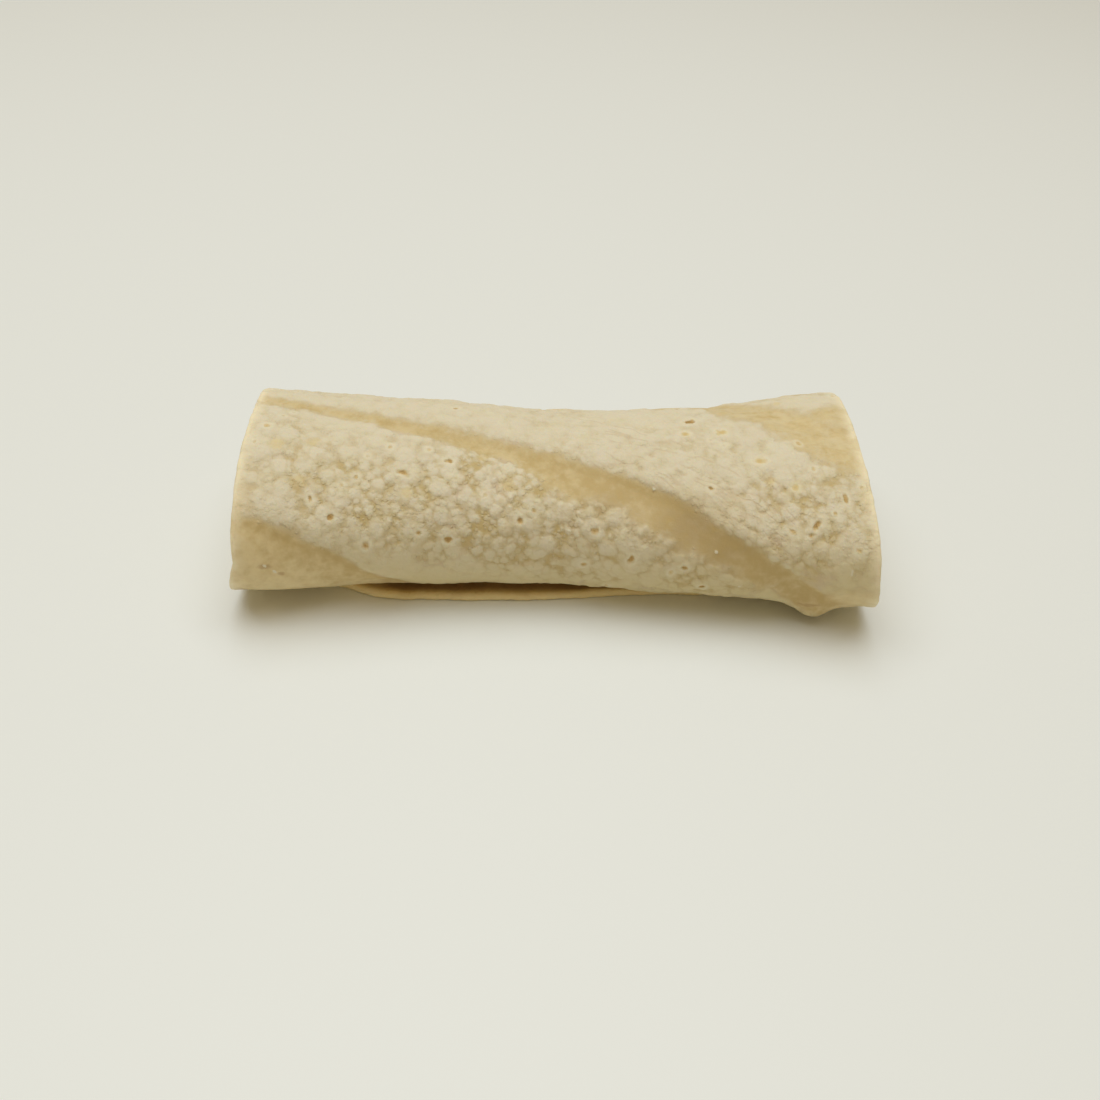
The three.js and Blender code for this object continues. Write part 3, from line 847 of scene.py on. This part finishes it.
class Maker:
    """One material's nodes."""

    def __init__(self, name):
        self.material = bpy.data.materials.new(name)
        self.material.use_nodes = True
        self.tree = self.material.node_tree
        self.tree.nodes.clear()

    def node(self, kind, settings, inputs, output=0):
        """Adds a node of a kind, makes its settings, and sets or links its inputs."""
        node = self.tree.nodes.new("ShaderNode" + kind)
        for key, value in settings.items():
            setattr(node, key, value)
        for key, value in inputs.items():
            if isinstance(value, Value):
                self.tree.links.new(value.socket, node.inputs[key])
            else:
                node.inputs[key].default_value = value
        return Value(self, node.outputs[output]) if node.outputs else None

    def attributes(self, *names):
        """The values kept on the mesh under those names."""
        return [self.node("Attribute", {"attribute_name": name}, {}, "Fac") for name in names]

    def place(self):
        """The place on the piece."""
        return self.node("TexCoord", {}, {}, "Object")

    def noise(self, size, detail=2.0, roughness=0.5):
        """Noise whose features are about that many millimetres, around 0.5."""
        inputs = {"Scale": 1 / (size * MM), "Detail": detail, "Roughness": roughness}
        return self.node("TexNoise", {}, {"Vector": self.place(), **inputs}, "Fac")

    def bent_place(self, size, reach):
        """The place, pushed about by noise of that size, that far, in millimetres."""
        inputs = {"Vector": self.place(), "Scale": 1 / (size * MM)}
        wobble = self.node("TexNoise", {}, inputs, "Color")
        bent = self.node("VectorMath", {"operation": "SCALE"}, {0: wobble, "Scale": 2 * reach * MM}, 0)
        return self.node("VectorMath", {"operation": "ADD"}, {0: self.place(), 1: bent}, 0)

    def beads(self, size, least, greatest):
        """Distance in millimetres inside the nearest small ball, one in each cube of a grid."""
        inputs = {"Vector": self.bent_place(2, 0.4), "Scale": 1 / (size * MM)}
        away = self.node("TexVoronoi", {"feature": "F1"}, inputs, "Distance")
        own = Value(self, away.socket.node.outputs["Color"])
        return own * (greatest - least) + least - away * size

    def wrinkles(self, along, across, length, spacing):
        """Thin lines about that long and that far apart, in millimetres, 0..1."""
        bend = (self.noise(6, 2) - 0.5) * 1.6
        inputs = {0: along / length, 1: across / spacing + bend}
        where = self.node("CombineXYZ", {}, inputs)
        level = self.node("TexNoise", {}, {"Vector": where, "Scale": 1.0, "Detail": 0.0}, "Fac")
        off = self.node("Math", {"operation": "ABSOLUTE"}, {0: level - 0.5})
        return self.step(0.09, 0.0, off) * self.step(0.40, 0.58, self.noise(5, 2))

    def step(self, low, high, value):
        """0 below low, 1 above high, an S between them."""
        settings = {"interpolation_type": "SMOOTHSTEP"}
        return self.node("MapRange", settings, {"Value": value, "From Min": low, "From Max": high})

    def colour(self, share, first, second):
        """From the first colour to the second by the share."""
        settings = {"data_type": "RGBA", "clamp_factor": True}
        inputs = {0: share, 6: first, 7: second}
        return self.node("Mix", settings, inputs, 2)

    def layers(self, colour, *tops):
        """Lays each (share, colour) in turn over the first colour."""
        for share, dome_top_highlight in tops:
            colour = self.colour(share, colour, dome_top_highlight)
        return colour

    def finish(self, surface, inputs):
        """Adds the shader and the output, and gives back the material."""
        shader = self.node(surface, {}, inputs)
        self.node("OutputMaterial", {}, {"Surface": shader})
        return self.material


def tortilla_material():
    """Wheat dough: floury cobbles, bare gaps, sheer tan bands, wrinkles and toasted pits, with painted
    highlights on domes, end rims and lip, and painted shade below trough edges, under the roll and in
    the end grooves.
    """
    m = Maker("tortilla")
    flour, seam, tone, cobbled, low = m.attributes("flour", "seam", "tone", "cobbled", "low")
    sheer, edge_shade, honey, thin, rim = m.attributes("sheer", "edge_shade", "honey", "thin", "rim")
    pit, brown, stain, scuff, fleck = m.attributes("pit", "brown", "stain", "scuff", "fleck")
    inner, lip, pocket_shade, groove = m.attributes("inner", "lip", "pocket_shade", "groove")
    along, below, creased = m.attributes("along", "below", "creased")
    cloudy, clouds, middling = m.noise(9, 3), m.noise(4, 4, 0.6), m.noise(2.6, 3)
    fine, grain = m.noise(0.9, 3, 0.6), m.noise(0.3, 2, 0.6)
    speck, blot = fine - 0.5, middling - 0.5
    bead = m.beads(1.25, 0.15, 0.95) - sheer * 0.9
    crease = m.wrinkles(along, below, 13, 2.6) * creased

    pale = (0.765, 0.7, 0.525, 1)
    white = (0.81, 0.74, 0.54, 1)
    cream = (0.695, 0.61, 0.405, 1)
    tan = (0.575, 0.445, 0.21, 1)
    pink = (0.62, 0.49, 0.32, 1)
    band = (0.55, 0.41, 0.18, 1)
    band_deep = (0.45, 0.33, 0.165, 1)
    band_light = (0.69, 0.56, 0.31, 1)
    yellow = (0.73, 0.59, 0.3, 1)
    amber = (0.62, 0.41, 0.16, 1)
    toasted = (0.37, 0.22, 0.08, 1)
    blush = (0.74, 0.655, 0.505, 1)
    straw = (0.745, 0.68, 0.45, 1)
    butter = (0.69, 0.58, 0.31, 1)
    honey_dark = (0.58, 0.43, 0.19, 1)
    honey_light = (0.82, 0.685, 0.4, 1)
    russet = (0.4, 0.24, 0.11, 1)
    damp = (0.98, 0.82, 0.45, 1)
    # Painted shade colours, for the gap under the roll and the end faces' grooves.
    shade_brown = (0.55, 0.38, 0.14, 1)
    deep_shade_brown = (0.26, 0.145, 0.05, 1)
    # Painted highlight colour: light caught by each end rim's fold, and along the lip also its paler
    # cut edge.
    pale_edge_and_highlight = (0.9, 0.8, 0.56, 1)

    ragged = speck * 0.7 + blot * 0.5
    small = m.step(-0.15, 0.35, bead + ragged * 0.4)
    soft_edge = sheer * 1.2 + 0.5
    floury = m.step(0 - soft_edge, soft_edge, flour + ragged - sheer * 0.5).greater(small * 0.7)
    # Painted highlight: the further inside a dome, the paler, as if its top caught the light; noise
    # breaks it up, and tone and speck add random paleness.
    dome_top_highlight = m.step(0.1, 1.4, flour + ragged + (cloudy - 0.5) * 1.5)
    paleness_and_highlight = dome_top_highlight * 0.6 + m.step(0.2, 0.8, tone) * 0.15 + speck * 0.6 + 0.15
    plates = m.layers(
        cream,
        (paleness_and_highlight, pale),
        (m.step(0.5, 0.68, clouds) * 0.4, blush),
        (m.step(0.5, 0.32, clouds) * 0.4, straw),
        ((1 - small) * 0.3, blush),
        (low * 0.8, butter),
        (thin * 0.4, tan),
    )
    bare = m.layers(
        tan,
        (m.step(0.52, 0.68, cloudy), pink),
        (m.step(1.0, 0.4, cobbled) * (1 - sheer) * 0.45, blush),
        (thin * 0.8, band_deep),
    )
    mottled = middling * 0.5 + fine * 0.15 + cloudy * 0.35
    # Painted shade: the sheer bands are kept darker just below each trough's edge.
    warm = m.colour(m.step(0.22, 0.72, mottled - edge_shade * 0.2 + 0.04), honey_dark, honey_light)
    sheet = m.layers(
        band,
        (m.step(0.30, 0.64, mottled - edge_shade * 0.22 + 0.06), band_light),
        (m.step(0.40, 0.64, clouds * 0.85 + fine * 0.15 - edge_shade * 0.25) * 0.6, cream),
        (thin * m.step(0.3, 0.6, mottled) * 0.75, band_deep),
        (honey * 0.85, warm),
    )

    joint = m.step(0.7, 0.0, seam + speck * 0.4) * m.step(0.3, 0.9, cobbled - low * 0.4)
    bared = m.step(0.05, 0.7, sheer + speck * 0.3)
    spot = m.step(0.2, 0.9, stain + blot * 0.9 + speck * 0.4)
    halo = m.step(1.3, 0.3, pit + speck * 0.6) * m.step(0.0, 0.3, pit)
    edge = pit + speck * 0.4 + blot * 0.4
    burnt = m.step(0.1, 0.6, brown)
    toast = m.colour(m.step(0.2, 0.8, middling * 0.5 + brown * 0.5), amber, toasted)
    deep = m.step(-0.1, -0.55, edge + (clouds - 0.5) * 1.4)
    colour = m.layers(
        bare,
        (floury * (1 - joint * 0.35), plates),
        (bared * (1 - floury * (0.8 - sheer * 0.6)), sheet),
        (crease * 0.5, pink),
        (m.step(0.25, 0.85, scuff + speck * 0.8) * 0.5, russet),
        (spot * 0.6, yellow),
        (halo * 0.55, white),
        (m.step(0.3, -0.4, edge) * 0.75, yellow),
        (m.step(0.1, -0.35, edge) * burnt * 0.8, amber),
        (deep * (burnt * 0.7 + 0.2), toast),
        (m.step(0.3, 0.7, fleck), pale),
        # Painted highlight along each end's rim, where its rounded fold catches the light.
        (rim * (m.step(0.35, 0.6, clouds) * 0.45 + 0.45), pale_edge_and_highlight),
        (inner * (0.5 + clouds * 0.6), damp),
        # Painted shade: dark brown in the gap under the roll, fading towards the free edge's tip.
        (m.step(0.0, 0.5, pocket_shade) * 0.8, shade_brown),
        (m.step(0.3, 1.0, pocket_shade) * 0.95, deep_shade_brown),
        # Along the lip: the sheet's paler cut edge, and painted highlight where that edge catches the
        # light.
        (lip * m.step(0.3, 0.55, fine * 0.4 + clouds * 0.6) * 0.9, pale_edge_and_highlight),
        (groove * 0.6, damp),
        # Painted shade in the bottoms of the end faces' grooves between the plies.
        (m.step(0.7, 1.0, groove) * 0.35, shade_brown),
    )

    grained = (fine * 0.17 + grain * 0.07) * (1 - sheer * 0.6)
    height = floury * (0.13 - sheer * 0.09) + grained - m.step(0.1, -0.4, edge) * burnt * 0.2
    height = height + small * (cobbled * 0.06 + 0.06) * (1 - m.step(0.1, 0.8, flour) * 0.3)
    height = height - crease * 0.06 + fleck * 0.1
    bump = m.node("Bump", {}, {"Strength": 1.0, "Distance": MM, "Height": height}, "Normal")
    rough = 0.62 + floury * 0.22 - sheer * 0.08 + speck * 0.12
    inputs = {
        "Base Color": colour, "Roughness": rough, "Normal": bump,
        "IOR": 1.4, "Specular IOR Level": 0.3,
        "Subsurface Weight": 0.15, "Subsurface Scale": 1.1 * MM,
        "Subsurface Radius": (1.0, 0.62, 0.3),
    }
    return m.finish("BsdfPrincipled", inputs)


# ---- Pieces ----


def add_object(name, data):
    """An object that holds the data, at the origin."""
    made = bpy.data.objects.new(name, data)
    bpy.context.collection.objects.link(made)
    return made


def roll_shift(place):
    """The move that centres the roll's box over the origin, as the solid's is."""
    low, high = (np.array(corner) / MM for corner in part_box("tortilla_roll"))
    middle = (place.min(axis=(0, 1)) + place.max(axis=(0, 1))) / 2
    shift = (low + high) / 2 - middle
    return np.array([shift[0], shift[1], 0])


def tortilla_roll(shift_by):
    """The whole roll: big forms, then the dough's relief along the outward direction."""
    grid = whole_grid()
    relief, attributes = dough(grid)
    place = grid["place"] + outward(grid["place"]) * relief[..., None]
    place[..., 2] = np.maximum(place[..., 2], 0)
    mesh = skin_mesh("tortilla", place + shift_by, attributes)
    mesh.materials.append(tortilla_material())
    return add_object("tortilla", mesh)


SHIFT = roll_shift(whole_grid()["place"])
roll = tortilla_roll(SHIFT)
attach(roll, "root")
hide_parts("tortilla_roll")


# ---- Floor, light and camera ----


def floor_plane():
    """A flat pale square under everything."""
    half = 3.0  # metres
    paint = {"Base Color": (0.83, 0.855, 0.84, 1), "Roughness": 0.5}
    mesh = bpy.data.meshes.new("floor")
    corners = [(-half, -half, 0), (half, -half, 0), (half, half, 0), (-half, half, 0)]
    mesh.from_pydata(corners, [], [(0, 1, 2, 3)])
    mesh.materials.append(Maker("floor").finish("BsdfPrincipled", paint))
    add_object("floor", mesh)


def studio_light():
    """One large soft light high above, facing the roll, and a warm pale surround."""
    data = bpy.data.lights.new("key", "AREA")
    data.shape = "SQUARE"
    data.size = 1.5
    data.energy = 19.0
    data.color = (0.91, 0.965, 1)
    light = add_object("key", data)
    light.location = (-0.12, 0.12, 1.5)
    light.rotation_mode = "QUATERNION"
    light.rotation_quaternion = (-light.location).to_track_quat("-Z", "Y")
    world = bpy.data.worlds.new("surround")
    world.use_nodes = True
    background = world.node_tree.nodes["Background"]
    background.inputs["Color"].default_value = (1, 0.80, 0.50, 1)
    background.inputs["Strength"].default_value = 0.34
    bpy.context.scene.world = world
    bpy.context.scene.view_settings.view_transform = "Standard"


CAMERA = {
    "elevation": 39, "yaw": 1.25, "roll": 2.98,  # degrees
    "distance": 284.4, "aim_height": 20, "right": -0.66, "up": -16.4,  # millimetres
    "focal_share": 1.0209,  # focal length over the frame's width
}
SENSOR = 36.0


def camera():
    """Looks along the heading, from a distance, with the aim point off the middle."""
    elevation, yaw, roll_angle = (math.radians(CAMERA[k]) for k in ("elevation", "yaw", "roll"))
    flat = math.cos(elevation)
    ahead = Vector((math.sin(yaw) * flat, math.cos(yaw) * flat, -math.sin(elevation)))
    right = ahead.cross(Vector((0, 0, 1))).normalized()
    up = right.cross(ahead)
    aim = Vector((SHIFT[0], SHIFT[1], CAMERA["aim_height"]))
    place = aim - ahead * CAMERA["distance"] + right * CAMERA["right"] + up * CAMERA["up"]
    turned_right = right * math.cos(roll_angle) + up * math.sin(roll_angle)
    turned_up = up * math.cos(roll_angle) - right * math.sin(roll_angle)
    data = bpy.data.cameras.new("camera")
    data.sensor_width = SENSOR
    data.lens = SENSOR * CAMERA["focal_share"]
    data.clip_start = 0.01
    made = add_object("camera", data)
    axes = Matrix((turned_right, turned_up, -ahead)).transposed()
    made.matrix_world = Matrix.Translation(place * MM) @ axes.to_4x4()
    bpy.context.scene.camera = made


floor_plane()
studio_light()
camera()
